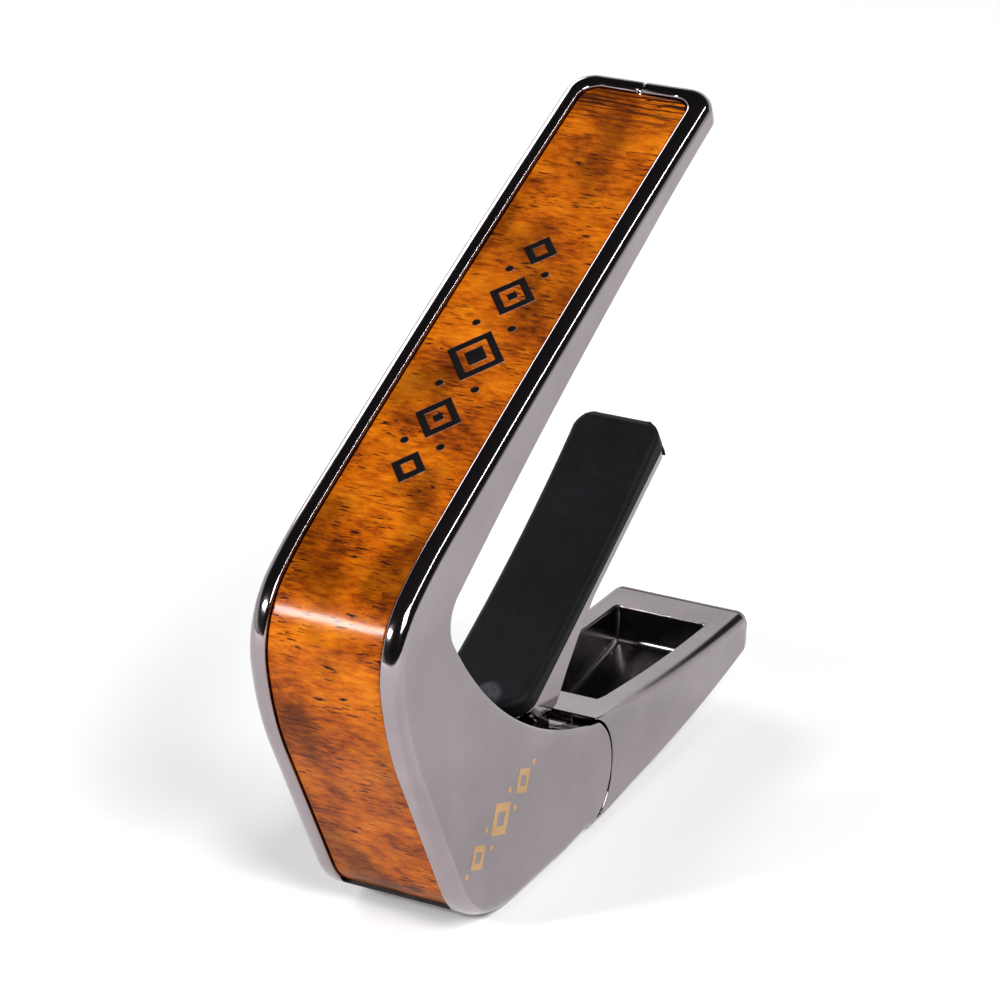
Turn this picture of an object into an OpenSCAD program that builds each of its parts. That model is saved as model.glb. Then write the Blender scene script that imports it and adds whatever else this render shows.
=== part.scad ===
// Guitar capo: a die-cast body with a wood inlay along its back, and a sprung lever that
// carries the neck pad and the handle. X runs from the elbow to the handle's end, Y runs
// across the width and Z is up. The underside of the body rests on Z = 0, under the middle
// of the outline.

/* [Body] */
// Width of the body and of the handle
body_w = 16; // [15.5:0.1:17]
// Distance from the middle of the outline to the back of the elbow
elbow_reach = 38.9; // [38.5:0.1:39.3]
// Radius of the elbow's outer face
elbow_r = 9; // [8:0.5:10]
// Length of the straight stretch below the elbow
shin_len = 17.2; // [16.5:0.1:18]
// Length of the front arm's outer face beyond the elbow
arm_len = 62.2; // [58:0.2:64]
// Thickness of the side cheeks beside the hub
cheek_t = 2.05; // [1.9:0.05:2.2]
// Radius of the front arm's tip corners in plan
tip_corner_r = 3; // [2:0.5:3.5]

/* [Wood inlay] */
// Width of the metal rim on each side of the inlay
rim_w = 2.05; // [1.9:0.05:2.4]
// How far the wood lies below the rim
inlay_sunk = 0.4; // [0.2:0.05:0.5]
// Thickness of the wood strip
wood_t = 0.8; // [0.6:0.05:0.9]
// Thickness of both adhesive films
film_t = 0.1; // [0.08:0.01:0.15]

/* [Fret pad] */
// Length of the fret pad along the arm
fret_pad_len = 50; // [44:1:52]
// Width of the fret pad
fret_pad_w = 9.8; // [9:0.1:10.4]
// Height of the fret pad above the arm's inner face
fret_pad_h = 4.1; // [3:0.1:4.3]

/* [Lever] */
// Height of the pivot above the underside
pivot_z = 6.4; // [6.3:0.05:6.6]
// Place of the pivot along the capo
pivot_x = -1.6; // [-1.8:0.1:-1.4]
// Gap between the cheeks' round ends and the handle
seam_gap = 0.2; // [0.15:0.05:0.3]
// Length of the neck pad arm
neck_arm_len = 36.3; // [34:0.1:37]
// Angle of the neck pad arm above the horizontal
neck_arm_rise = 31.2; // [30:0.2:32]
// Width of the neck pad arm
neck_arm_w = 9.4; // [9:0.1:9.6]
// Width of the neck pad
neck_pad_w = 9.7; // [9.4:0.1:10.2]
// Half the width of the pocket in the handle
pocket_half_w = 5.2; // [4.8:0.1:5.4]
// Thickness of the handle's floor
handle_floor_t = 1.3; // [1.1:0.1:1.6]

/* [Pivot] */
// Radius of the pivot pin
pin_r = 1.5; // [1.4:0.05:1.55]
// Wire radius of the torsion spring
wire_r = 0.7; // [0.6:0.05:0.7]
// Turns of the torsion spring
spring_turns = 3.75; // [2.75:1:3.75]

/* [Hidden] */
$fn = 64;
big_fn = 720;
chord_miss = 0.004;
eps = 0.01;
half_w = body_w / 2;
slot_half = half_w - cheek_t;
pivot = [pivot_x, pivot_z];

// Outline of the back: one bend from the tip, round the elbow, down to the underside.
// Each leg is [radius or length, turn in degrees].
elbow_lean = 8;
heel_leg = [32, 19];
toe_legs = [[8.6, 30], [16, 33]];
shin_angle = elbow_lean + heel_leg[1] - 90;
knee_turn = 54;
shoulder_leg = [45, 8.7];
arm_bow_r = 1150;
arm_turn = deg(arm_len / arm_bow_r);
toe_inlay_turn = 26;
rim_turn = deg(rim_w / arm_bow_r);

// Gap on each side of an adhesive film, so that curved layers stay clear of each other
layer_gap = 0.015;

// Outline of the jaw: the inner face of the arm, the tight throat and the long floor.
throat = [-29, 34.3];
throat_r = 3.2;
throat_up = 57;
throat_down = 33.2;
jaw_arm_r = 480;
jaw_arm_turn = 7.62;
jaw_floor = [49.2, 43.8];

recess_d = inlay_sunk + wood_t + film_t + 2 * layer_gap;
recess_half = half_w - rim_w;
inlay_side_gap = 0.1;
inlay_corner_r = 2;

// Snap-in channel for the fret pad on the arm's inner face
lip_t = 0.4;
channel_d = 1.2;
lip_half = 3.9;
channel_half = 4.7;
pad_fit = 0.06;
pad_start = 6;
pad_corner_r = 2.4;

// Housing: the hollow behind the hub and the slot that the lever comes out of
wall_t = 1.8;
floor_t = 1.7;
slot_end_x = -9.7;
relief_half = 7.1;
relief_d = 1.1;
relief_x = [-11.4, -5.9];
anchor_r = 1.2;
anchor_x = -15.5;

// Hub and handle of the lever
hub_half = 5.4;
hub_inset = 0.5;
flange_t = 0.45;
neck_root = [-8.4, 14.8];
plate_t = 1.1;
rib_half = 1.5;
neck_tip_corner_r = 1.8;
neck_end_corner_r = 3;
neck_half = 4;
sole_r = 172;
sole_dirs = [0.4, 12.8];
sole_z = 0.85;
heel_corner_r = 1;
handle_back = [[5, 35], [1.2, 42], [215, -9.6]];
handle_corner_r = 3;
pocket_x = [6.4, 32];
pocket_top = 13;

// Neck pad
pad_mid_t = 1.45;
pad_end_t = 2.45;
pad_hook_t = 0.7;
pad_hook_len = 0.8;

// Pivot
pin_fit = 0.02;
run_fit = 0.05;
bushing_r = 2.4;
flange_r = 3.6;
spring_half = 3.6;
spring_mean_r = 3.15;
spool_r = 2.3;
spring_room_r = 4.7;
blind_d = 1.35;
cap_r = 2.5;
cap_t = 0.8;

steel = "#8d8c92";
black_nickel = "#3c3b40";
rubber = "#1b1b1e";

function deg(radians) = radians * 180 / PI;
function reverse(list) = [for (i = [len(list) - 1 : -1 : 0]) list[i]];
function last(list) = list[len(list) - 1];
function dir(a) = [cos(a), sin(a)];

// Number of chords for an arc, so that none strays from it by more than chord_miss.
function chords(r, turn) = max(3, ceil(abs(turn) / deg(sqrt(8 * chord_miss / r))));

// Points along one leg that starts at p in direction h: an arc that turns left when the
// turn is positive, or a straight line when the turn is zero.
function leg(p, h, size, turn) =
    turn == 0 ? [p + size * dir(h)] :
    let (side = sign(turn), steps = chords(size, turn),
         centre = p + size * dir(h + 90 * side))
    [for (i = [1 : steps]) centre + size * dir(h - 90 * side + turn * i / steps)];

// Points along a run of legs, without the start point.
function walk(p, h, legs, i = 0) =
    i == len(legs) ? [] :
    let (points = leg(p, h, legs[i][0], legs[i][1]))
    concat(points, walk(last(points), h + legs[i][1], legs, i + 1));

// Height of the back of the elbow above the underside.
function turn_drop(r, from, to) = r * (cos(to) - cos(from));
elbow_z = turn_drop(elbow_r, -90, elbow_lean - 90)
    + turn_drop(heel_leg[0], elbow_lean - 90, shin_angle) - shin_len * sin(shin_angle)
    + turn_drop(toe_legs[0][0], shin_angle, shin_angle + toe_legs[0][1])
    + turn_drop(toe_legs[1][0], shin_angle + toe_legs[0][1], 0);

// The back's outline at a depth below its surface, from the tip to the elbow and down.
function back_up(depth, trim = 0) = walk([-elbow_reach + depth, elbow_z], 90,
    [[elbow_r - depth, -knee_turn], [shoulder_leg[0] - depth, -shoulder_leg[1]],
     [arm_bow_r - depth, -(arm_turn - trim)]]);
function back_down(depth, toes) = walk([-elbow_reach + depth, elbow_z], -90,
    concat([[elbow_r - depth, elbow_lean], [heel_leg[0] - depth, heel_leg[1]],
            [shin_len, 0]],
           [for (toe = toes) [toe[0] - depth, toe[1]]]));
function back_line(depth, trim, toes) = concat(reverse(back_up(depth, trim)),
    [[-elbow_reach + depth, elbow_z]], back_down(depth, toes));
function inlay_line(depth, side_gap = 0) = back_line(depth,
    rim_turn + deg(side_gap / arm_bow_r), [[toe_legs[0][0], toe_inlay_turn - side_gap * 6]]);

jaw_up = walk(throat, 90, [[throat_r, -throat_up], [jaw_arm_r, -jaw_arm_turn]]);
jaw_down = walk(throat, -90, [[throat_r, throat_down], jaw_floor]);
nose_r = norm(last(jaw_down) - pivot);
nose_top = atan2(last(jaw_down)[1] - pivot[1], last(jaw_down)[0] - pivot[0]);
nose_end = -84;
heel_x = -5.5;

function nose_line(r) = [for (a = [nose_end : (nose_top - nose_end) / 24 : nose_top - 1])
    pivot + r * dir(a)];

tip = last(back_up(0));
tip_dir = 90 - knee_turn - shoulder_leg[1] - arm_turn;

// Centre of the long arc of the jaw floor
floor_centre = throat + [throat_r, 0] + throat_r * dir(180 + throat_down)
    + jaw_floor[0] * dir(throat_down);
hub_r = nose_r - hub_inset;
room_top = 26;
slot_corner_r = 1.5;
floor_end_x = pivot_x - 3;

// The handle's sole is one long arc that ends at the full reach.
sole_start = [elbow_reach - heel_corner_r * (1 - sin(sole_dirs[1]))
              - sole_r * (sin(sole_dirs[1]) - sin(sole_dirs[0])), sole_z];
sole_centre = sole_start + sole_r * dir(sole_dirs[0] + 90);

// Spring: the coil's half length, and where its two legs cross the hub
spring_pitch = 2 * wire_r + 0.05;
spring_y = spring_turns * spring_pitch / 2;
spring_leg = 6.4;
leg_y = [-1.9, 1.9];

// Arc of the arm's inner face: s runs out from the throat, d goes into the metal.
jaw_arm_centre = throat + [throat_r, 0] + throat_r * dir(180 - throat_up)
    + jaw_arm_r * dir(-throat_up);
function arm_point(s, d) = jaw_arm_centre
    + (jaw_arm_r + d) * dir(180 - throat_up - deg(s / jaw_arm_r));
function arm_band(s0, s1, d0, d1) = concat(
    [for (i = [0 : 12]) arm_point(s0 + (s1 - s0) * i / 12, d0)],
    [for (i = [12 : -1 : 0]) arm_point(s0 + (s1 - s0) * i / 12, d1)]);

// Neck arm frame: u runs from its lower end to its tip, v points at the neck.
function neck_point(u, v) = neck_root
    + u * dir(neck_arm_rise) + v * dir(neck_arm_rise + 90);
pad_face_sag = pad_end_t - pad_mid_t;
pad_face_r = (pow(neck_arm_len / 2, 2) + pow(pad_face_sag, 2)) / (2 * pad_face_sag);
function pad_face(u) = pad_mid_t + pad_face_r
    - sqrt(pow(pad_face_r, 2) - pow(u - neck_arm_len / 2, 2));

// Solid with a side outline in X and Z and a width in Y.
module side_solid(points, width, y = 0)
    translate([0, y + width / 2, 0]) rotate([90, 0, 0]) linear_extrude(width) polygon(points);

// Cylinder along Y with its axis through a point of the side view.
module cross_rod(p, r, y0, y1)
    translate([p[0], y1, p[1]]) rotate([90, 0, 0]) cylinder(r = r, h = y1 - y0);

// What is cut off both corners of an end: the end is at point p, and the part runs
// away from it in the direction a + 180. The round crosses the flat faces by a hair,
// because a face that only touches another leaves an open edge.
module round_end_cut(p, a, r, half)
    translate([p[0], 0, p[1]]) rotate([0, -a, 0])
        for (side = [-1, 1]) scale_side(side)
            difference() {
                translate([-r, half - r, -30]) cube([r + 5, r + 5, 60]);
                translate([-r, half - r, -31]) cylinder(r = r + eps, h = 62);
            }

module scale_side(side)
    if (side > 0) children();
    else mirror([0, 1, 0]) children();

// What lies beyond the arm's square end, less a hair.
module end_cut(p, a)
    translate([p[0], 0, p[1]]) rotate([0, -a, 0]) translate([-eps, -half_w - 1, -30])
        cube([6, body_w + 2, 60]);

module body_blank()
    difference() {
        side_solid(concat([[heel_x, 0]], nose_line(nose_r), reverse(jaw_down), [throat],
                          jaw_up, back_line(0, 0, toe_legs)), body_w);
        end_cut(tip, tip_dir);
        round_end_cut(tip, tip_dir, tip_corner_r, half_w);
    }

module inlay_recess()
    difference() {
        side_solid(concat(inlay_line(-1), reverse(inlay_line(recess_d))), 2 * recess_half);
        round_end_cut(inlay_line(0)[0], tip_dir, inlay_corner_r, recess_half);
    }

// T-shaped channel: a mouth through the lip and a wider seat behind it.
module fret_pad_channel(fit) {
    ends = [pad_start + 1 + fit, pad_start + fret_pad_len - 1 - fit];
    mouth = fit > 0 ? 0 : -1;
    side_solid(arm_band(ends[0], ends[1], mouth, channel_d - fit), 2 * (lip_half - fit));
    side_solid(arm_band(ends[0], ends[1], lip_t + fit, channel_d - fit),
               2 * (channel_half - fit));
}

// Hollow of the housing: shin on the left, jaw floor above, underside below.
module housing_room() {
    shin = back_down(recess_d + wall_t, [toe_legs[0]]);
    difference() {
        side_solid(concat([[pivot_x, floor_t], [pivot_x, room_top], [shin[0][0] + 1, room_top]],
                          [for (p = shin) if (p[1] < room_top - 2 && p[1] > floor_t + 0.5) p],
                          [[last(shin)[0] + 1, floor_t]]), 2 * slot_half);
        cross_rod(floor_centre, jaw_floor[0] + wall_t, -half_w, half_w, $fn = big_fn);
    }
}

// Slot in the jaw floor for the lever's neck, open towards the handle.
module lever_slot() {
    r = slot_corner_r;
    translate([slot_end_x + r, -slot_half, pivot_z])
        cube([20, 2 * slot_half, 20]);
    translate([slot_end_x, -slot_half + r, pivot_z])
        cube([20, 2 * (slot_half - r), 20]);
    for (side = [-1, 1])
        translate([slot_end_x + r, side * (slot_half - r), pivot_z]) cylinder(r = r, h = 20);
    translate([floor_end_x, -slot_half, -1]) cube([20, 2 * slot_half, 20]);
    cross_rod(pivot, hub_r + 0.35, -slot_half, slot_half);
}

// Shallow seat in the jaw floor around the lower end of the neck pad.
module stop_relief()
    intersection() {
        cross_rod(floor_centre, jaw_floor[0] + relief_d, -relief_half, relief_half,
                  $fn = big_fn);
        translate([relief_x[0], -half_w, 0])
            cube([relief_x[1] - relief_x[0], body_w, 30]);
    }

module main_body() color(black_nickel) {
    difference() {
        body_blank();
        inlay_recess();
        fret_pad_channel(0);
        housing_room();
        lever_slot();
        stop_relief();
        cross_rod(pivot, pin_r + pin_fit, -slot_half - blind_d, half_w + 1);
        cross_rod(pivot, cap_r, half_w - cap_t, half_w + 1);
    }
    cross_rod([anchor_x, pivot_z + spring_mean_r + wire_r + anchor_r + 0.03], anchor_r,
              -slot_half - 0.5, slot_half + 0.5);
}

module inlay_layer(depth, thickness, gap)
    difference() {
        side_solid(concat(inlay_line(depth, gap), reverse(inlay_line(depth + thickness, gap))),
                   2 * (recess_half - gap));
        round_end_cut(inlay_line(0, gap)[0], tip_dir, inlay_corner_r - gap,
                      recess_half - gap);
    }

module arm_inlay() color("#b0591c") inlay_layer(inlay_sunk, wood_t, inlay_side_gap);

module inlay_adhesive() color("#d9cfb4")
    inlay_layer(inlay_sunk + wood_t + layer_gap, film_t, 3 * inlay_side_gap);

module fret_pad_carrier() color("#2c2d31") fret_pad_channel(pad_fit);

module fret_pad() color(rubber) {
    pad_end = pad_start + fret_pad_len;
    arm_dir = 90 - throat_up;
    difference() {
        side_solid(arm_band(pad_start, pad_end, -pad_fit, -fret_pad_h), fret_pad_w);
        round_end_cut(arm_point(pad_end, 0), arm_dir - deg(pad_end / jaw_arm_r),
                      pad_corner_r, fret_pad_w / 2);
        round_end_cut(arm_point(pad_start, 0), arm_dir + 180 - deg(pad_start / jaw_arm_r),
                      pad_corner_r, fret_pad_w / 2);
    }
}

module handle_blank() {
    outline = concat([sole_start], walk(sole_start, sole_dirs[0], concat(
        [[sole_r, sole_dirs[1] - sole_dirs[0]], [heel_corner_r, 90]], handle_back)));
    difference() {
        side_solid(outline, body_w);
        cross_rod(pivot, nose_r + seam_gap, -half_w - 1, half_w + 1);
        round_end_cut([elbow_reach, pivot_z], 0, handle_corner_r, half_w);
    }
    difference() {
        side_solid(outline, 2 * hub_half);
        translate([pivot_x + 2 * nose_r, -half_w, -5]) cube([60, body_w, 30]);
    }
}

module handle_pocket()
    intersection() {
        cross_rod(sole_centre, sole_r - handle_floor_t, -half_w, half_w, $fn = big_fn);
        translate([pocket_x[0], -pocket_half_w, 0])
            cube([pocket_x[1] - pocket_x[0], 2 * pocket_half_w, pocket_top]);
    }

// Plate of the neck pad arm, with its edges flared towards the hub.
module neck_plate() {
    outline = [[0, 0], [neck_arm_len, 0], [neck_arm_len, -plate_t], [17, -1.2], [12.5, -2],
               [9, -3], [5.6, -4.2], [2.6, -3.2], [1.6, -plate_t], [0, -plate_t]];
    difference() {
        side_solid([for (p = outline) neck_point(p[0], p[1])], neck_arm_w);
        round_end_cut(neck_point(neck_arm_len, 0), neck_arm_rise, neck_tip_corner_r,
                      neck_arm_w / 2);
        round_end_cut(neck_root, neck_arm_rise + 180, neck_end_corner_r, neck_arm_w / 2);
    }
}

// Web between the plate and the hub, and the rib along the plate's back.
module neck_web() {
    side_solid(concat([for (p = [[1.3, -0.5], [7, -0.5], [5.2, -3.4]]) neck_point(p[0], p[1])],
                      [[pivot_x + 0.4, pivot_z + 4], [pivot_x - 5.2, pivot_z + 1],
                       [pivot_x - 5.6, pivot_z + 6]]), 2 * neck_half);
    side_solid([for (p = [[34, -0.5], [33.5, -1.4], [30, -2.1], [14, -3.9], [5.8, -5.2],
                          [3, -0.5]]) neck_point(p[0], p[1])], 2 * rib_half);
}

module sector(from, to, r, y0, y1)
    side_solid(concat([pivot], [for (i = [0 : 6]) pivot + r * dir(from + (to - from) * i / 6)]),
               y1 - y0, (y0 + y1) / 2);

// Room in the hub for the spring, its fixed leg and its moving leg.
module spring_room() {
    cross_rod(pivot, spring_room_r, -spring_half, spring_half);
    sector(150, 235, 8.6, -spring_half, spring_half);
    sector(115, 235, 8.6, -spring_half, leg_y[0]);
    translate([pivot_x - spring_mean_r - wire_r - 0.02, leg_y[1], pivot_z])
        cube([2 * wire_r + 0.3, spring_half - leg_y[1], spring_leg + 0.4]);
}

module lever() color(black_nickel)
    difference() {
        union() {
            cross_rod(pivot, hub_r, -hub_half, hub_half);
            handle_blank();
            neck_plate();
            neck_web();
        }
        handle_pocket();
        spring_room();
        cross_rod(pivot, bushing_r + eps, -half_w, half_w);
    }

module neck_pad_adhesive() color("#d9cfb4")
    side_solid([for (p = [[2, 0], [neck_arm_len - 1, 0], [neck_arm_len - 1, film_t],
                          [2, film_t]]) neck_point(p[0], p[1])], neck_arm_w - 3);

module neck_pad() color(rubber) {
    end = neck_arm_len;
    under = plate_t + eps;
    hook = [[end + eps, film_t], [end + eps, -under], [end - pad_hook_len, -under],
            [end - pad_hook_len, -under - pad_hook_t / 2],
            [end + pad_hook_t, -under - pad_hook_t / 2], [end + pad_hook_t, pad_face(end) - 0.7],
            [end + pad_hook_t / 2, pad_face(end) - 0.1]];
    face = [for (i = [12 : -1 : 0]) [end * i / 12, pad_face(end * i / 12)]];
    difference() {
        side_solid([for (p = concat([[0, film_t]], hook, face)) neck_point(p[0], p[1])],
                   neck_pad_w);
        round_end_cut(neck_point(end + pad_hook_t, 0), neck_arm_rise,
                      neck_tip_corner_r + pad_hook_t, neck_pad_w / 2);
        round_end_cut(neck_root, neck_arm_rise + 180, neck_end_corner_r, neck_pad_w / 2);
    }
}

module pivot_pin() color(steel)
    cross_rod(pivot, pin_r, -slot_half - blind_d + 0.05, half_w - cap_t - 0.05);

module pin_cap() color(black_nickel)
    cross_rod(pivot, cap_r - pin_fit, half_w - cap_t + eps, half_w - 0.05);

module bushing(side) color("#b38a45")
    scale_side(side)
        difference() {
            union() {
                cross_rod(pivot, bushing_r, spring_half, hub_half + flange_t);
                cross_rod(pivot, flange_r, hub_half + eps, hub_half + flange_t);
            }
            cross_rod(pivot, pin_r + run_fit, spring_half - 1, half_w);
        }

module bushing_left() bushing(-1);

module bushing_right() bushing(1);

module spring_spool() color("#e8e4da")
    difference() {
        cross_rod(pivot, spool_r, -spring_half + 0.1, spring_half - 0.1);
        cross_rod(pivot, pin_r + 2 * run_fit, -spring_half - 1, spring_half + 1);
    }

// Round wire along a path that never runs parallel to Y.
module wire(path, r, sides) {
    n = len(path);
    rings = [for (i = [0 : n - 1])
        let (t = path[min(i + 1, n - 1)] - path[max(i - 1, 0)],
             across = cross(t, [0, 1, 0]) / norm(cross(t, [0, 1, 0])),
             up = cross(across, t) / norm(t))
        for (k = [0 : sides - 1])
            path[i] + r * (cos(360 * k / sides) * across + sin(360 * k / sides) * up)];
    skin = [for (i = [0 : n - 2], k = [0 : sides - 1])
        let (a = i * sides + k, b = i * sides + (k + 1) % sides)
        [a, a + sides, b + sides, b]];
    polyhedron(rings, concat([[for (k = [0 : sides - 1]) k]], skin,
        [[for (k = [sides - 1 : -1 : 0]) (n - 1) * sides + k]]));
}

module torsion_spring() color(steel) {
    turn_steps = 24;
    steps = spring_turns * turn_steps;
    fixed_leg = [anchor_x - 1.6, -spring_y, pivot_z + spring_mean_r];
    coil = [for (i = [0 : steps])
        let (a = 90 - 360 * i / turn_steps)
        [pivot_x + spring_mean_r * cos(a), spring_y * (2 * i / steps - 1),
         pivot_z + spring_mean_r * sin(a)]];
    moving_leg = [last(coil)[0], spring_y, pivot_z + spring_leg];
    wire(concat([fixed_leg], coil, [moving_leg]), wire_r, 12);
}

main_body();
inlay_adhesive();
arm_inlay();
fret_pad_carrier();
fret_pad();
lever();
neck_pad_adhesive();
neck_pad();
pivot_pin();
pin_cap();
bushing_left();
bushing_right();
spring_spool();
torsion_spring();
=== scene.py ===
import math

import bmesh
import bpy
import numpy as np
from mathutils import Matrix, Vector


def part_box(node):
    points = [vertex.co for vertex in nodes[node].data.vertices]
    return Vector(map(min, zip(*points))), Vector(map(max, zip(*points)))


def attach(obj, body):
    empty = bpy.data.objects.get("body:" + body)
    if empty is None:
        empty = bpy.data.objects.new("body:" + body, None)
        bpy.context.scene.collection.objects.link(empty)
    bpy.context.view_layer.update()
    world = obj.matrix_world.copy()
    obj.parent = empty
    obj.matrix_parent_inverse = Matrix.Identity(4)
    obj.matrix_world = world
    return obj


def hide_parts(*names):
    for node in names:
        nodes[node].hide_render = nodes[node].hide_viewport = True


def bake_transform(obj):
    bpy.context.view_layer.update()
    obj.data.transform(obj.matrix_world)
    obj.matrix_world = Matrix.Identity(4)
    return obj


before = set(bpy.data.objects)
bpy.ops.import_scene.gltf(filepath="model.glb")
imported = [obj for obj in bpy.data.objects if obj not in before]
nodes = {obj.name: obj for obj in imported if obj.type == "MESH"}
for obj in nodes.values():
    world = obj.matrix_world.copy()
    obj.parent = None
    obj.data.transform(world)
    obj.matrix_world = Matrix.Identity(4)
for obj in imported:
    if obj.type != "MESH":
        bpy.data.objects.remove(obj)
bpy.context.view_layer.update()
MM = 0.001

# ---------------------------------------------------------------- driving sizes, in mm
HALF_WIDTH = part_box("main_body")[1].y / MM
WOOD_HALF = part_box("arm_inlay")[1].y / MM
RECESS_HALF = WOOD_HALF + 0.1
PIVOT = (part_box("pivot_pin")[0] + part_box("pivot_pin")[1]) / 2 / MM
ARM_DIRECTION = Vector((0.906, 0, 0.423))
ARM_UPWARD = Vector((-0.423, 0, 0.906))
UP_SHIN = Vector((-0.83, 0, 0.56))
TIP_CORNER = Vector((26.63, 0, 70.41))


# ---------------------------------------------------------------- node material helpers
def socket_key(key):
    """Keyword names use in0, in1 ... for numbered sockets, and words for named ones."""
    if key.startswith("in") and key[2:].isdigit():
        return int(key[2:])
    return key.replace("_", " ")


def node_adder(tree):
    """A function that adds nodes to a tree. Keywords that start with set_ are settings of the
    node, and the others are its inputs: a socket is linked, and a value is set."""
    def add(kind, **inputs):
        node = tree.nodes.new(kind)
        for key, value in inputs.items():
            if key.startswith("set_"):
                setattr(node, key[4:], value)
        for key, value in inputs.items():
            if isinstance(value, bpy.types.NodeSocket):
                tree.links.new(value, node.inputs[socket_key(key)])
            elif not key.startswith("set_"):
                node.inputs[socket_key(key)].default_value = value
        return node

    return add


def new_material(name):
    """A material, its shader, and the functions that add and link nodes in it."""
    material = bpy.data.materials.new(name)
    material.use_nodes = True
    tree = material.node_tree
    return material, tree.nodes["Principled BSDF"], node_adder(tree), tree.links.new


def ramp(add, value, stops):
    """A colour ramp on a value; each stop is (position, colour)."""
    node = add("ShaderNodeValToRGB", Fac=value)
    elements = node.color_ramp.elements
    for place, colour in stops[2:]:
        elements.new(place)
    for element, (place, colour) in zip(elements, sorted(stops)):
        element.position = place
        element.color = (*colour, 1)
    return node.outputs["Color"]


def between(add, value, low, high):
    """Maps a 0 to 1 value to low..high."""
    node = add("ShaderNodeMapRange", Value=value, To_Min=low, To_Max=high)
    return node.outputs["Result"]


def stepped(add, value, start, stop):
    """Runs from 0 to 1 as the value runs from start to stop."""
    node = add("ShaderNodeMapRange", Value=value, From_Min=start, From_Max=stop)
    return node.outputs["Result"]


def maths(add, operation, one, other):
    return add("ShaderNodeMath", set_operation=operation, in0=one, in1=other).outputs[0]


def mixed(add, share, low, high):
    """A mix of two colours, with the share that the second one has."""
    node = add("ShaderNodeMix", set_data_type="RGBA", in0=share, in6=low, in7=high)
    return node.outputs[2]


def bumped(add, height, strength, distance):
    node = add("ShaderNodeBump", Height=height, Strength=strength, Distance=distance)
    return node.outputs["Normal"]


def noise(add, vector, scale, detail=3.0, roughness=0.55):
    node = add("ShaderNodeTexNoise", Vector=vector, Scale=scale, Detail=detail,
               Roughness=roughness)
    return node.outputs["Fac"]


def stretched(add, vector, scale, turn=(0, 0, 0)):
    node = add("ShaderNodeMapping", Vector=vector, Scale=scale, Rotation=turn)
    return node.outputs["Vector"]


def metal(name, colour, shade=0.85, roughness=(0.05, 0.12)):
    """Plated or ground metal: cloudy colour, uneven gloss and a faint cast or ground surface."""
    material, shader, add, link = new_material(name)
    place = add("ShaderNodeTexCoord").outputs["Object"]
    cloud = noise(add, place, 160.0)
    fine = noise(add, place, 1400.0, 2.0)
    grain = noise(add, place, 500.0, 4.0)
    dull = [c * shade for c in colour]
    link(ramp(add, cloud, [(0.3, dull), (0.7, colour)]), shader.inputs["Base Color"])
    link(between(add, fine, *roughness), shader.inputs["Roughness"])
    link(bumped(add, grain, 0.25, 0.00002), shader.inputs["Normal"])
    shader.inputs["Metallic"].default_value = 1.0
    return material


def moulded(name, colour, light, roughness=(0.5, 0.7), speckle=900.0):
    """Rubber or moulded plastic: fine speckle, patchy tone and a matte, slightly pebbled skin."""
    material, shader, add, link = new_material(name)
    place = add("ShaderNodeTexCoord").outputs["Object"]
    patches = noise(add, place, 180.0)
    dots = noise(add, place, speckle * 2, 2.0, 0.7)
    pebbles = noise(add, place, speckle, 4.0, 0.7)
    tone = maths(add, "MULTIPLY", patches, dots)
    link(ramp(add, tone, [(0.15, colour), (0.5, light)]), shader.inputs["Base Color"])
    link(between(add, dots, *roughness), shader.inputs["Roughness"])
    link(bumped(add, pebbles, 0.5, 0.00004), shader.inputs["Normal"])
    shader.inputs["Specular IOR Level"].default_value = 0.12
    return material


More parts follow.
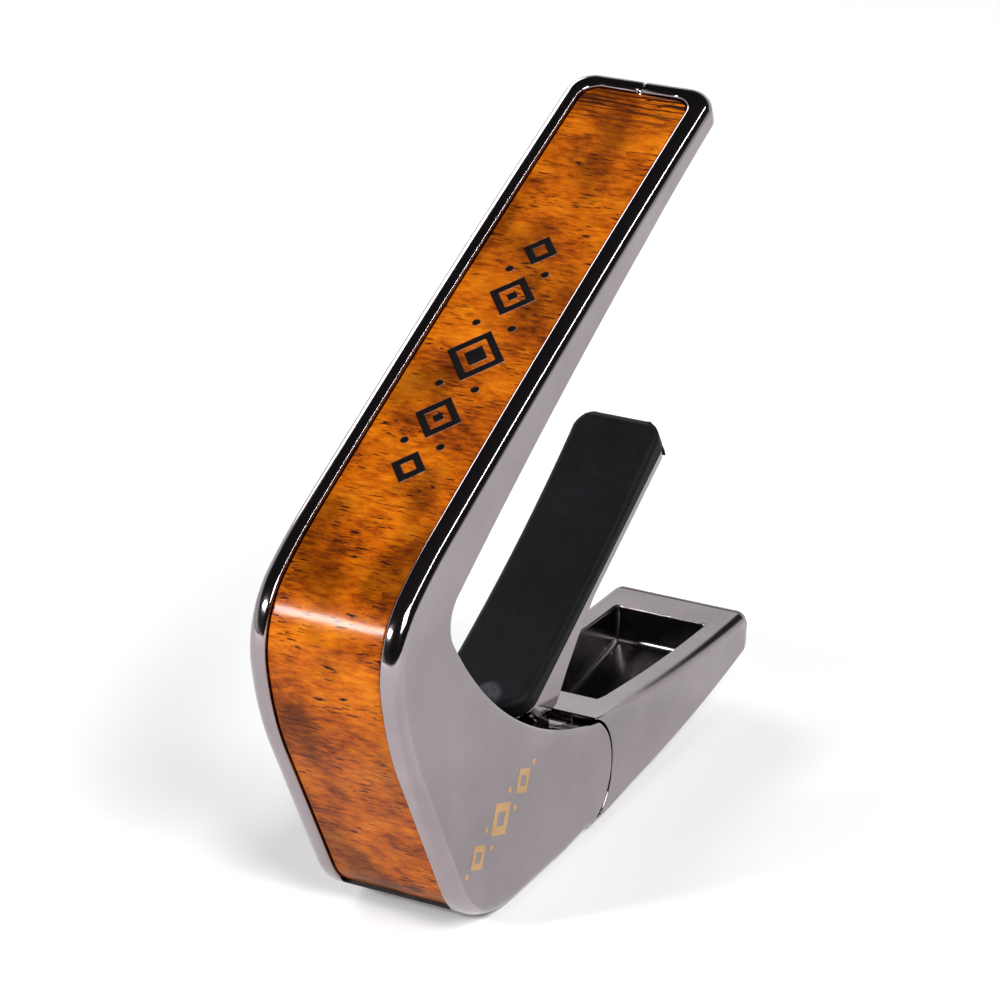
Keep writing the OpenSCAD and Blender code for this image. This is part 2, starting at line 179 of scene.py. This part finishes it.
def lacquered_wood():
    """Figured brown hardwood under clear lacquer. The grain runs across the strip, so it is
    laid out along the strip's own length and width and follows the bend."""
    material, shader, add, link = new_material("figured_wood")
    strip = add("ShaderNodeAttribute", set_attribute_name="strip").outputs["Vector"]
    burnt = add("ShaderNodeAttribute", set_attribute_name="burnt").outputs["Fac"]
    along = add("ShaderNodeSeparateXYZ", Vector=strip).outputs["X"]

    def layer(scale_along, scale_across, turn, detail, roughness=0.5):
        """Noise laid out on the strip. A higher scale along it than across it gives a grain
        that runs across."""
        place = stretched(add, strip, (scale_along, scale_across, 1), (0, 0, turn))
        return noise(add, place, 1.0, detail, roughness)

    # The wood's own colour, from figure and fibre, shaded in broad clouds.
    figure = layer(210, 110, 0.3, 5.0, 0.62)
    fibre = layer(2300, 520, 0.12, 4.0, 0.7)
    tone = add("ShaderNodeMix", set_data_type="FLOAT", in0=0.42, in2=figure, in3=fibre)
    grain = ramp(add, tone.outputs[0], [
        (0.37, (0.09, 0.015, 0.002)), (0.45, (0.30, 0.056, 0.002)),
        (0.52, (0.48, 0.105, 0.002)), (0.62, (0.66, 0.185, 0.005))])
    cloud = layer(75, 130, 0.4, 3.0)
    shade = between(add, stepped(add, cloud, 0.38, 0.52), 0.38, 0.8)
    base = add("ShaderNodeVectorMath", set_operation="SCALE", in0=grain, Scale=shade)

    # Short dark dashes in patches, and long dark lines near the tip.
    short = layer(4300, 560, 0.14, 2.0)
    long = layer(3000, 95, 0.05, 3.0, 0.6)
    patches = stepped(add, layer(330, 200, 0.2, 2.0), 0.44, 0.58)
    near_tip = stepped(add, along, 0.006, 0.002)
    dashes = maths(add, "MULTIPLY", stepped(add, short, 0.58, 0.62), patches)
    lines = maths(add, "MULTIPLY", stepped(add, long, 0.49, 0.54), near_tip)
    dark = maths(add, "MAXIMUM", lines, dashes)
    grained = mixed(add, dark, base.outputs["Vector"], (0.025, 0.006, 0.002, 1))

    # The engraved motif is burnt in.
    edge = stepped(add, burnt, 0.45, 0.55)
    inked = mixed(add, edge, grained, (0.006, 0.005, 0.005, 1))
    link(inked, shader.inputs["Base Color"])
    link(between(add, fibre, 0.30, 0.45), shader.inputs["Roughness"])
    link(bumped(add, short, 0.3, 0.00004), shader.inputs["Normal"])
    lacquer = layer(500, 220, 0, 2.0)
    link(bumped(add, lacquer, 0.3, 0.00008), shader.inputs["Coat Normal"])
    shader.inputs["Coat Weight"].default_value = 0.16
    shader.inputs["Coat Roughness"].default_value = 0.17
    shader.inputs["Specular IOR Level"].default_value = 0.03
    return material


def worn_spot(material, centre, reach, tone):
    """Lightens a moulded material inside an oval, as if it had been rubbed there.
    Sizes are in mm."""
    tree = material.node_tree
    add = node_adder(tree)
    colour = tree.nodes["Principled BSDF"].inputs["Base Color"]
    before = colour.links[0].from_socket
    place = add("ShaderNodeTexCoord").outputs["Object"]
    offset = add("ShaderNodeVectorMath", set_operation="SUBTRACT",
                 in0=place, in1=[c * MM for c in centre]).outputs["Vector"]
    oval = add("ShaderNodeVectorMath", set_operation="DIVIDE",
               in0=offset, in1=[r * MM for r in reach]).outputs["Vector"]
    away = add("ShaderNodeVectorMath", set_operation="LENGTH", in0=oval).outputs["Value"]
    inside = between(add, stepped(add, away, 0.75, 1.1), 1.0, 0.0)
    patchy = add("ShaderNodeTexNoise", Vector=place, Scale=1500.0).outputs["Fac"]
    share = maths(add, "MULTIPLY", inside, patchy)
    tree.links.new(mixed(add, share, before, (*tone, 1)), colour)


black_nickel = metal("black_nickel", (0.32, 0.28, 0.295))
black_nickel_lever = metal("black_nickel_lever", (0.32, 0.28, 0.285))
ground_steel = metal("ground_steel", (0.56, 0.56, 0.58), 0.8, (0.18, 0.32))
spring_steel = metal("spring_steel", (0.30, 0.29, 0.30), 0.7, (0.2, 0.35))
# Painted shade: a darker copy of the lever's metal for the inside of the handle's pocket, where
# shade falls.
cast_pocket = metal("cast_pocket", (0.15, 0.14, 0.14), 0.7, (0.16, 0.26))
# Painted shade: a near-black copy of the metal for the end wall of the wood's recess at the toe,
# in place of the light's reflection there.
blackened = metal("blackened_recess", (0.02, 0.018, 0.018), 0.7, (0.5, 0.7))
bronze = metal("turned_bronze", (0.70, 0.47, 0.20), 0.8, (0.18, 0.35))
gold_mark = metal("gold_mark", (0.66, 0.39, 0.17), 0.8, (0.25, 0.4))
pad_rubber = moulded("pad_rubber", (0.0015, 0.0015, 0.002), (0.0065, 0.0065, 0.009))
nylon = moulded("nylon_carrier", (0.02, 0.02, 0.022), (0.05, 0.05, 0.055), (0.35, 0.5), 500.0)
acetal = moulded("acetal_spool", (0.62, 0.60, 0.55), (0.78, 0.76, 0.70), (0.35, 0.5), 500.0)
film = moulded("adhesive_film", (0.50, 0.45, 0.34), (0.68, 0.62, 0.50), (0.4, 0.6), 700.0)
wood = lacquered_wood()
worn_spot(pad_rubber, (-8.6, -0.7, 17.0), (1.5, 1.5, 4.0), (0.055, 0.055, 0.065))


def wear(piece, material):
    piece.data.materials.clear()
    piece.data.materials.append(material)


# ---------------------------------------------------------------- mesh helpers
WELD_DISTANCE = 0.002 * MM
FLAT_ANGLE = math.radians(0.2)
SHARP_ANGLE = math.radians(38)
ROUND_SEGMENTS = 5


def clean_copy(node):
    """A CAD node's mesh with its seams welded and its flat faces made whole, as a bmesh."""
    work = bmesh.new()
    work.from_mesh(nodes[node].data)
    bmesh.ops.remove_doubles(work, verts=work.verts, dist=WELD_DISTANCE)
    bmesh.ops.dissolve_limit(work, angle_limit=FLAT_ANGLE, verts=work.verts, edges=work.edges)
    return work


def add_piece(name, work, material):
    mesh = bpy.data.meshes.new(name)
    work.to_mesh(mesh)
    work.free()
    piece = bpy.data.objects.new(name, mesh)
    bpy.context.scene.collection.objects.link(piece)
    mesh.materials.append(material)
    return piece


def nearest_on_edges(spots, starts, ends):
    """For each spot: how far the nearest edge is, which one it is, and how far along it."""
    run = ends - starts
    size = np.maximum((run ** 2).sum(1), 1e-18)
    best = [np.full(len(spots), np.inf), np.zeros(len(spots), int), np.zeros(len(spots))]
    for k in range(len(starts)):
        along = np.clip((spots - starts[k]) @ run[k] / size[k], 0, 1)
        gap = ((spots - starts[k] - along[:, None] * run[k]) ** 2).sum(1)
        closer = gap < best[0] - 1e-14
        for keep, fresh in zip(best, (gap, np.full(len(spots), k), along)):
            keep[closer] = fresh[closer]
    return np.sqrt(best[0]), best[1], best[2]


def middle(edge):
    return (edge.verts[0].co + edge.verts[1].co) / 2 / MM


def flattest_normal(edge):
    """The normal of the edge's face that looks least to the side."""
    return min((f.normal for f in edge.link_faces), key=lambda n: abs(n.y))


def round_edges(work, width_at, base):
    """Rounds the sharp edges of a mesh. Every edge first gets the same narrow round, which
    never fails at a bend, and each round is then grown about its own edge to its full width."""
    sharp = [e for e in work.edges if len(e.link_faces) == 2
             and e.calc_face_angle() > SHARP_ANGLE and width_at(e, middle(e)) > 0]
    chosen = {e.index for e in sharp}
    at_vertex = {}
    for edge in sharp:
        for vert in edge.verts:
            near = [width_at(e, vert.co / MM) for e in vert.link_edges if e.index in chosen]
            at_vertex[vert.index] = sum(near) / len(near)
    starts = np.array([e.verts[0].co for e in sharp])
    ends = np.array([e.verts[1].co for e in sharp])
    grow = np.array([[at_vertex[v.index] for v in e.verts] for e in sharp]) / base
    bmesh.ops.bevel(work, geom=sharp, offset=base * MM, offset_type="OFFSET",
                    segments=ROUND_SEGMENTS, profile=0.5, affect="EDGES", clamp_overlap=False)
    spots = np.array([v.co for v in work.verts])
    gap, edge, along = nearest_on_edges(spots, starts, ends)
    foot = starts[edge] + along[:, None] * (ends[edge] - starts[edge])
    size = grow[edge, 0] * (1 - along) + grow[edge, 1] * along
    moved = foot + (spots - foot) * size[:, None]
    for vert, spot, far in zip(work.verts, moved, gap):
        if far < 1.3 * base * MM:
            vert.co = spot


def smooth(piece, angle=32):
    mesh = piece.data
    mesh.polygons.foreach_set("use_smooth", [True] * len(mesh.polygons))
    mesh.set_sharp_from_angle(angle=math.radians(angle))
    weighted = piece.modifiers.new("even_shading", "WEIGHTED_NORMAL")
    weighted.keep_sharp = True
    weighted.weight = 90


def rounded_piece(name, node, material, width_at, base=0.2, finish=None):
    """A copy of a CAD node whose sharp edges are rounded. width_at gives the width in mm of an
    edge at a spot, base is the narrow first round, and finish does any last work on the mesh."""
    work = clean_copy(node)
    work.edges.index_update()
    work.verts.index_update()
    round_edges(work, width_at, base)
    if finish:
        finish(work)
    piece = add_piece(name, work, material)
    smooth(piece)
    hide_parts(node)
    return piece


def in_side_face(spot):
    return abs(spot.y) > HALF_WIDTH - 0.05


# ---------------------------------------------------------------- body casting
OUTER_ROUND = 1.2
SIDE_ROUND = 0.28
TIP_ROUND = 0.4
RECESS_ROUND = 0.3
SMALL_ROUND = 0.15
TIP_CORNER_RADIUS = 3.0
TIP_FROM_Z = 60
RECESS_END_Z = 3.5


def from_tip_corner(spot):
    return TIP_CORNER - Vector((spot.x, 0, spot.z))


def inside_tip(from_tip, across):
    """How far a spot lies inside the outline of the arm's end, seen along the arm's back."""
    past_corner = abs(across) - (HALF_WIDTH - TIP_CORNER_RADIUS)
    return TIP_CORNER_RADIUS - math.hypot(max(TIP_CORNER_RADIUS - from_tip, 0),
                                          max(past_corner, 0))


def body_width(edge, spot):
    if not edge.is_convex:
        return 0.0
    outside = min(f.normal.x for f in edge.link_faces) < -0.2
    toe = flattest_normal(edge).z < -0.2 and spot.x < 0 and spot.z < 10
    from_tip = from_tip_corner(spot).dot(ARM_DIRECTION)
    if spot.z > TIP_FROM_Z and inside_tip(from_tip, spot.y) < 0.4:
        return OUTER_ROUND if outside else TIP_ROUND
    if in_side_face(spot):
        return OUTER_ROUND if outside or toe else SIDE_ROUND
    if outside and abs(spot.y) < RECESS_HALF + 0.1:
        return RECESS_ROUND if spot.z > RECESS_END_Z else 0.0
    return SMALL_ROUND


NICK_CUTS = (-0.32, -0.16, 0.0, 0.16, 0.32)
NICK_HALF = 0.2
NICK_DEPTH = 0.3
NICK_SIDE_DEPTH = 0.2


def on_rim(spot):
    """Whether a spot is on the rim at the arm's end."""
    offset = from_tip_corner(spot)
    back_from_end, below_top = offset.dot(ARM_DIRECTION), offset.dot(ARM_UPWARD)
    return spot.z > TIP_FROM_Z and back_from_end < 2.2 and below_top < 1.6


def tip_nick(work):
    """The small casting nick across the middle of the rim at the arm's end."""
    for across in NICK_CUTS:
        faces = [f for f in work.faces if all(on_rim(v.co / MM) for v in f.verts)]
        parts = set(faces)
        for face in faces:
            parts.update(face.edges, face.verts)
        bmesh.ops.bisect_plane(work, geom=list(parts), plane_co=(0, across * MM, 0),
                               plane_no=(0, 1, 0))
    work.normal_update()
    for vert in work.verts:
        across = abs(vert.co.y) / MM
        facing_up = vert.normal.dot(ARM_UPWARD) > 0.25
        if across < NICK_HALF and on_rim(vert.co / MM) and facing_up:
            depth = NICK_DEPTH if across < NICK_HALF / 2 else NICK_SIDE_DEPTH
            vert.co -= vert.normal * depth * MM


body_casting = rounded_piece("body_casting", "main_body", black_nickel, body_width,
                             finish=tip_nick)
# The end wall of the wood's recess at the toe gets the near-black metal, which is painted shade.
body_casting.data.materials.append(blackened)
for face in body_casting.data.polygons:
    at = face.center / MM
    low_in_recess = at.z < 4 and abs(at.y) < RECESS_HALF
    if low_in_recess and face.normal.dot(UP_SHIN) > 0.85:
        face.material_index = 1
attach(body_casting, "body")


# ---------------------------------------------------------------- lever casting
NOSE_RADIUS = 6.2
LEVER_ROUND = 0.12
HANDLE_TOP_ROUND = 1.0
HANDLE_SOLE_ROUND = 0.7
POCKET_FLOOR_ROUND = 0.8


def graded(value, from_low, from_high, low, high):
    """A smooth step from low to high as value runs over a range."""
    t = min(1.0, max(0.0, (value - from_low) / (from_high - from_low)))
    return low + (high - low) * t * t * (3 - 2 * t)


def lever_width(edge, spot):
    in_pocket = spot.x > 6 and spot.z < 14 and abs(spot.y) < 6
    if not edge.is_convex:
        return POCKET_FLOOR_ROUND if in_pocket else 0.0
    if in_side_face(spot) or spot.x > 35:
        from_seam = math.hypot(spot.x - PIVOT.x, spot.z - PIVOT.z) - NOSE_RADIUS
        widest = HANDLE_TOP_ROUND if spot.z > PIVOT.z else HANDLE_SOLE_ROUND
        return graded(from_seam, 0.3, 7, LEVER_ROUND, widest)
    return 0.3 if in_pocket else 0.2


lever_casting = rounded_piece("lever_casting", "lever", black_nickel_lever, lever_width,
                              LEVER_ROUND)
# The pocket's inside gets the darker copy of the lever's metal, which is painted shade.
lever_casting.data.materials.append(cast_pocket)
for face in lever_casting.data.polygons:
    at, up = face.center / MM, face.normal.z
    in_pocket = 6.3 < at.x < 32.1 and abs(at.y) < 5.3 and at.z < 12
    on_top = up > 0.5 and at.z > 7
    if in_pocket and up > -0.5 and not on_top:
        face.material_index = 1
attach(lever_casting, "lever")

# ---------------------------------------------------------------- pads
PAD_LOW, PAD_RISE = Vector((-8.4, 0, 14.8)), Vector((-0.518, 0, 0.855))
NECK_PAD_ROUND = 0.7
FRET_PAD_ROUND = 0.8


def neck_pad_width(edge, spot):
    """Rounds the face that meets the neck; the side glued to the arm stays sharp."""
    height = (spot - PAD_LOW).dot(PAD_RISE)
    return NECK_PAD_ROUND if edge.is_convex and height > 1.0 else 0.0


def fret_pad_width(edge, spot):
    return FRET_PAD_ROUND if edge.is_convex else 0


neck_rubber = rounded_piece("neck_pad_rubber", "neck_pad", pad_rubber, neck_pad_width)
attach(neck_rubber, "lever")
fret_rubber = rounded_piece("fret_pad_rubber", "fret_pad", pad_rubber, fret_pad_width)
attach(fret_rubber, "body")


# ---------------------------------------------------------------- wood inlay
def section(node):
    """The outline of a CAD node where the plane Y = 0 cuts it, as ordered (x, z) in mm."""
    work = clean_copy(node)
    found = bmesh.ops.bisect_plane(work, geom=work.verts[:] + work.edges[:] + work.faces[:],
                                   plane_co=(0, 0, 0), plane_no=(0, 1, 0))["geom_cut"]
    edges = {g for g in found if isinstance(g, bmesh.types.BMEdge)}
    start = next(iter(edges)).verts[0]
    line, here, last = [], start, None
    while here is not start or last is None:
        line.append((here.co.x / MM, here.co.z / MM))
        step = next(e for e in here.link_edges if e in edges and e is not last)
        here, last = step.other_vert(here), step
    work.free()
    return np.array(line)


def outer_line(node):
    """The outer half of a band's outline, from its highest end to its lowest."""
    line = section(node)
    line = np.roll(line, -int(line[:, 1].argmax()), axis=0)
    low = int(line[:, 1].argmin())
    ways = [line[:low + 1], np.vstack([line[low:], line[:1]])[::-1]]
    return max(ways, key=lambda way: np.linalg.norm(np.diff(way, axis=0), axis=1).sum())


back = outer_line("arm_inlay")
run = np.concatenate([[0], np.cumsum(np.linalg.norm(np.diff(back, axis=0), axis=1))])
STRIP_LENGTH = run[-1]
STRIP_THICKNESS = 0.75
STRIP_CORNER = 1.9
STRIP_EDGE_ROUND = 0.12
EDGE_STEPS = np.array([0, 0.02, 0.06, STRIP_EDGE_ROUND])
COARSE_STEP = 0.3
FINE_STEP = 0.11
COLUMN_COUNT = 104
NORMAL_WINDOW = 0.6
MOTIF_CENTRE = 38.0
MOTIF_HALF = 19
ENGRAVED_DEPTH = 0.16
BURNT_FADE = 0.5

fine_from, fine_to = MOTIF_CENTRE - MOTIF_HALF, MOTIF_CENTRE + MOTIF_HALF
rows = np.unique(np.concatenate([
    EDGE_STEPS,
    np.arange(COARSE_STEP, fine_from, COARSE_STEP),
    np.arange(fine_from, fine_to, FINE_STEP),
    np.arange(fine_to, STRIP_LENGTH - COARSE_STEP, COARSE_STEP),
    STRIP_LENGTH - EDGE_STEPS[::-1]]))
flat_half = WOOD_HALF - 0.2
columns = np.concatenate([-WOOD_HALF + EDGE_STEPS,
                          np.linspace(-flat_half, flat_half, COLUMN_COUNT),
                          WOOD_HALF - EDGE_STEPS[::-1]])


def motif(along, across):
    """Signed distance in mm to a plain row of lozenges and dots, negative inside."""
    best = np.full(np.broadcast(along, across).shape, 9.0)
    for centre, size in ((0, 1.0), (-8.2, 0.8), (8.2, 0.8), (-14.6, 0.6), (14.6, 0.6)):
        reach, half = 3.4 * size, 3.1 * size
        d = np.abs(along - centre) / reach + np.abs(across) / half - 1
        d = d * reach * half / math.hypot(reach, half)
        frame_line, heart = np.maximum(d, -(d + 0.75)), d + 1.35
        best = np.minimum(best, np.minimum(frame_line, heart))
    for centre in (-11.6, -4.1, 4.1, 11.6):
        for side in (-1, 1):
            best = np.minimum(best, np.hypot(along - centre, across - side * 1.9) - 0.42)
    return best


def on_back(distance):
    """The x and z of the arm's back line at distances along it."""
    return np.array([np.interp(distance, run, back[:, k]) for k in (0, 1)])


def wood_strip():
    """The bent strip as a closed skin: a finely divided face with rounded edges and the
    engraved motif, its rim and its back. It carries its own length and width for the grain."""
    place = on_back(rows)
    ahead = on_back(rows + NORMAL_WINDOW) - on_back(rows - NORMAL_WINDOW)
    outward = np.array([-ahead[1], ahead[0]]) / np.hypot(*ahead)
    if outward[1][0] < 0:
        outward = -outward

    from_end = np.clip(STRIP_CORNER - rows, 0, STRIP_CORNER)
    pinch = STRIP_CORNER - np.sqrt(STRIP_CORNER ** 2 - from_end ** 2)
    half = (WOOD_HALF - pinch)[:, None]
    across = columns[None, :] * (half / WOOD_HALF)
    to_end = np.minimum(rows, STRIP_LENGTH - rows)[:, None]
    edge_gap = np.clip(np.minimum(half - np.abs(across), to_end), 0, STRIP_EDGE_ROUND)
    squared = STRIP_EDGE_ROUND ** 2 - (STRIP_EDGE_ROUND - edge_gap) ** 2
    drop = STRIP_EDGE_ROUND - np.sqrt(np.clip(squared, 0, None))

    away = motif(rows[:, None] - MOTIF_CENTRE, across)
    cut = np.clip(0.5 - away / ENGRAVED_DEPTH, 0, 1)
    depth = drop + ENGRAVED_DEPTH * cut * cut * (3 - 2 * cut)
    char = np.clip(0.5 - away / BURNT_FADE, 0, 1)

    work = bmesh.new()
    strip = work.verts.layers.float_vector.new("strip")
    burnt = work.verts.layers.float.new("burnt")

    def sheet(depths, chars):
        """A grid of vertices at depths below the strip's outer line."""
        grid = []
        for i, row in enumerate(rows):
            line = []
            for j in range(len(columns)):
                x, z = place[:, i] - outward[:, i] * depths[i, j]
                vert = work.verts.new((x * MM, across[i, j] * MM, z * MM))
                vert[strip] = (row * MM, across[i, j] * MM, 0)
                vert[burnt] = chars[i, j]
                line.append(vert)
            grid.append(line)
        return grid

    top = sheet(depth, char)
    bottom = sheet(np.full_like(depth, STRIP_THICKNESS), np.zeros_like(depth))
    end, side = len(rows) - 1, len(columns) - 1
    for i in range(end):
        for j in range(side):
            work.faces.new((top[i][j], top[i + 1][j], top[i + 1][j + 1], top[i][j + 1]))
        work.faces.new((bottom[i][0], bottom[i][side], bottom[i + 1][side], bottom[i + 1][0]))
    rim = [(i, 0) for i in range(end)] + [(end, j) for j in range(side)]
    rim += [(i, side) for i in range(end, 0, -1)] + [(0, j) for j in range(side, 0, -1)]
    for (i, j), (k, m) in zip(rim, rim[1:] + rim[:1]):
        work.faces.new((top[i][j], bottom[i][j], bottom[k][m], top[k][m]))
    loose = [v for v in work.verts if not v.link_faces]
    bmesh.ops.delete(work, geom=loose, context="VERTS")
    bmesh.ops.recalc_face_normals(work, faces=work.faces)
    for face in work.faces:
        face.smooth = True
    return work


wood_piece = add_piece("wood_inlay", wood_strip(), wood)
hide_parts("arm_inlay")
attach(wood_piece, "body")

# ---------------------------------------------------------------- gilt ornament on the side
ORNAMENT_CENTRE = Vector((-19.5, 0, 10.5))
ORNAMENT_TURN = math.radians(24)
ORNAMENT_LEVELS = (0.012, -0.01)
HOLE_SHARE = 0.45
LOZENGES = ((0, 2.3, 2.2), (-5.0, 1.7, 1.7), (5.0, 1.7, 1.7))
DOTS = ((2.6, 1.3), (2.6, -1.3), (7.5, 0))
DOT_RADIUS = 0.34
DOT_SIDES = 20


def gilt_ornament():
    """A slanted row of plain lozenges and dots, printed on the side face."""
    work = bmesh.new()
    along = Vector((math.cos(ORNAMENT_TURN), 0, math.sin(ORNAMENT_TURN)))
    up = Vector((-math.sin(ORNAMENT_TURN), 0, math.cos(ORNAMENT_TURN)))

    def rings(centre, reach, half, sides):
        """An outline at both levels: just proud of the side face, and just inside it."""
        turns = [2 * math.pi * k / sides for k in range(sides)]
        spots = [centre + along * (reach * math.cos(t)) + up * (half * math.sin(t))
                 for t in turns]
        return [[work.verts.new((s.x * MM, -(HALF_WIDTH + level) * MM, s.z * MM))
                 for s in spots] for level in ORNAMENT_LEVELS]

    def band(one, other):
        """Quads all the way round between two outlines."""
        for k in range(len(one)):
            m = (k + 1) % len(one)
            work.faces.new((one[k], other[k], other[m], one[m]))

    for a, reach, half in LOZENGES:
        centre = ORNAMENT_CENTRE + along * a
        outer = rings(centre, reach, half, 4)
        hole = rings(centre, reach * HOLE_SHARE, half * HOLE_SHARE, 4)
        band(*outer)
        band(*hole)
        band(outer[0], hole[0])
        band(outer[1], hole[1])
    for side in (-1, 1):
        for a, b in DOTS:
            centre = ORNAMENT_CENTRE + along * (side * a) + up * b
            front, rear = rings(centre, DOT_RADIUS, DOT_RADIUS, DOT_SIDES)
            work.faces.new(front)
            work.faces.new(rear[::-1])
            band(front, rear)
    bmesh.ops.recalc_face_normals(work, faces=work.faces)
    return work


gilt = add_piece("gilt_ornament", gilt_ornament(), gold_mark)
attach(gilt, "body")

# ---------------------------------------------------------------- torsion spring
coil = bmesh.new()
coil.from_mesh(nodes["torsion_spring"].data)
bmesh.ops.remove_doubles(coil, verts=coil.verts, dist=WELD_DISTANCE)
spring = add_piece("spring_wire", coil, spring_steel)
smooth(spring, 50)
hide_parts("torsion_spring")
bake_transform(spring)

# ---------------------------------------------------------------- CAD nodes that stay
for name, finish in (("inlay_adhesive", film), ("neck_pad_adhesive", film),
                     ("fret_pad_carrier", nylon), ("pivot_pin", ground_steel),
                     ("pin_cap", black_nickel), ("bushing_left", bronze),
                     ("bushing_right", bronze), ("spring_spool", acetal)):
    wear(nodes[name], finish)
for name in ("pin_cap", "fret_pad_carrier", "pivot_pin"):
    weld = nodes[name].modifiers.new("weld", "WELD")
    weld.merge_threshold = WELD_DISTANCE
    edge = nodes[name].modifiers.new("edge", "BEVEL")
    edge.width, edge.segments, edge.angle_limit = 0.15 * MM, 3, math.radians(60)

# ---------------------------------------------------------------- floor, light and camera
FLOOR_HALF = 3.0
AIM = Vector((0, 0, 0.035))
SKY_UP = (-0.35, -0.35, 1.0)
SKY_LEVELS = ((0.0, 1.0), (0.05, 0.95), (0.2, 0.06), (0.5, 0.02))
CAMERA_PLACE = Vector((-310.96, -162.89, 183.60)) * MM
CAMERA_HEADING = math.radians(-62)
CAMERA_DROP = math.radians(23)

floor_work = bmesh.new()
bmesh.ops.create_grid(floor_work, x_segments=2, y_segments=2, size=FLOOR_HALF)
floor_material, floor_shader = new_material("pale_floor")[:2]
floor_shader.inputs["Base Color"].default_value = (0.93, 0.93, 0.93, 1)
floor_shader.inputs["Roughness"].default_value = 0.8
floor = add_piece("floor", floor_work, floor_material)


def softbox(name, direction, distance, size, power):
    """A rectangular light in a direction from the object, facing it."""
    data = bpy.data.lights.new(name, "AREA")
    data.shape = "RECTANGLE"
    data.size, data.size_y = size
    data.energy = power
    light = bpy.data.objects.new(name, data)
    bpy.context.scene.collection.objects.link(light)
    away = Vector(direction).normalized()
    light.location = AIM + away * distance
    light.rotation_euler = away.to_track_quat("Z", "Y").to_euler()


softbox("key", (-0.45, -0.62, 0.64), 1.2, (0.5, 0.5), 14)
softbox("far_fill", (0.55, 0.75, 0.45), 1.4, (0.6, 0.6), 7)
softbox("left_edge", (-0.75, 0.45, 0.45), 0.9, (0.14, 0.10), 6.0)
softbox("right_strip", (0.15, -0.62, 0.77), 0.9, (0.7, 0.03), 2.5)

# The studio is bright from a little above the horizon down and dark overhead, so the rims
# mirror black and the sides stay light.
world = bpy.data.worlds.new("studio")
bpy.context.scene.world = world
world.use_nodes = True
sky = world.node_tree
add_sky = node_adder(sky)
ball = add_sky("ShaderNodeTexCoord").outputs["Generated"]
lean = add_sky("ShaderNodeVectorMath", set_operation="DOT_PRODUCT", in0=ball, in1=SKY_UP)
grade = add_sky("ShaderNodeValToRGB", Fac=lean.outputs["Value"])
for place, level in SKY_LEVELS:
    element = grade.color_ramp.elements.new(place)
    element.color = (level, level, level * 1.01, 1)
grade.color_ramp.elements.remove(grade.color_ramp.elements[0])
grade.color_ramp.elements[-1].color = (0.03, 0.03, 0.032, 1)
sky.links.new(grade.outputs["Color"], sky.nodes["Background"].inputs["Color"])
sky.nodes["Background"].inputs["Strength"].default_value = 0.95

camera_data = bpy.data.cameras.new("camera")
camera_data.lens = 140.4
camera_data.sensor_width = 36
camera_data.clip_start, camera_data.clip_end = 0.01, 20
camera = bpy.data.objects.new("camera", camera_data)
bpy.context.scene.collection.objects.link(camera)
camera.location = CAMERA_PLACE
camera.rotation_euler = (math.radians(90) - CAMERA_DROP, 0, CAMERA_HEADING)
bpy.context.scene.camera = camera
bpy.context.scene.view_settings.view_transform = "Standard"
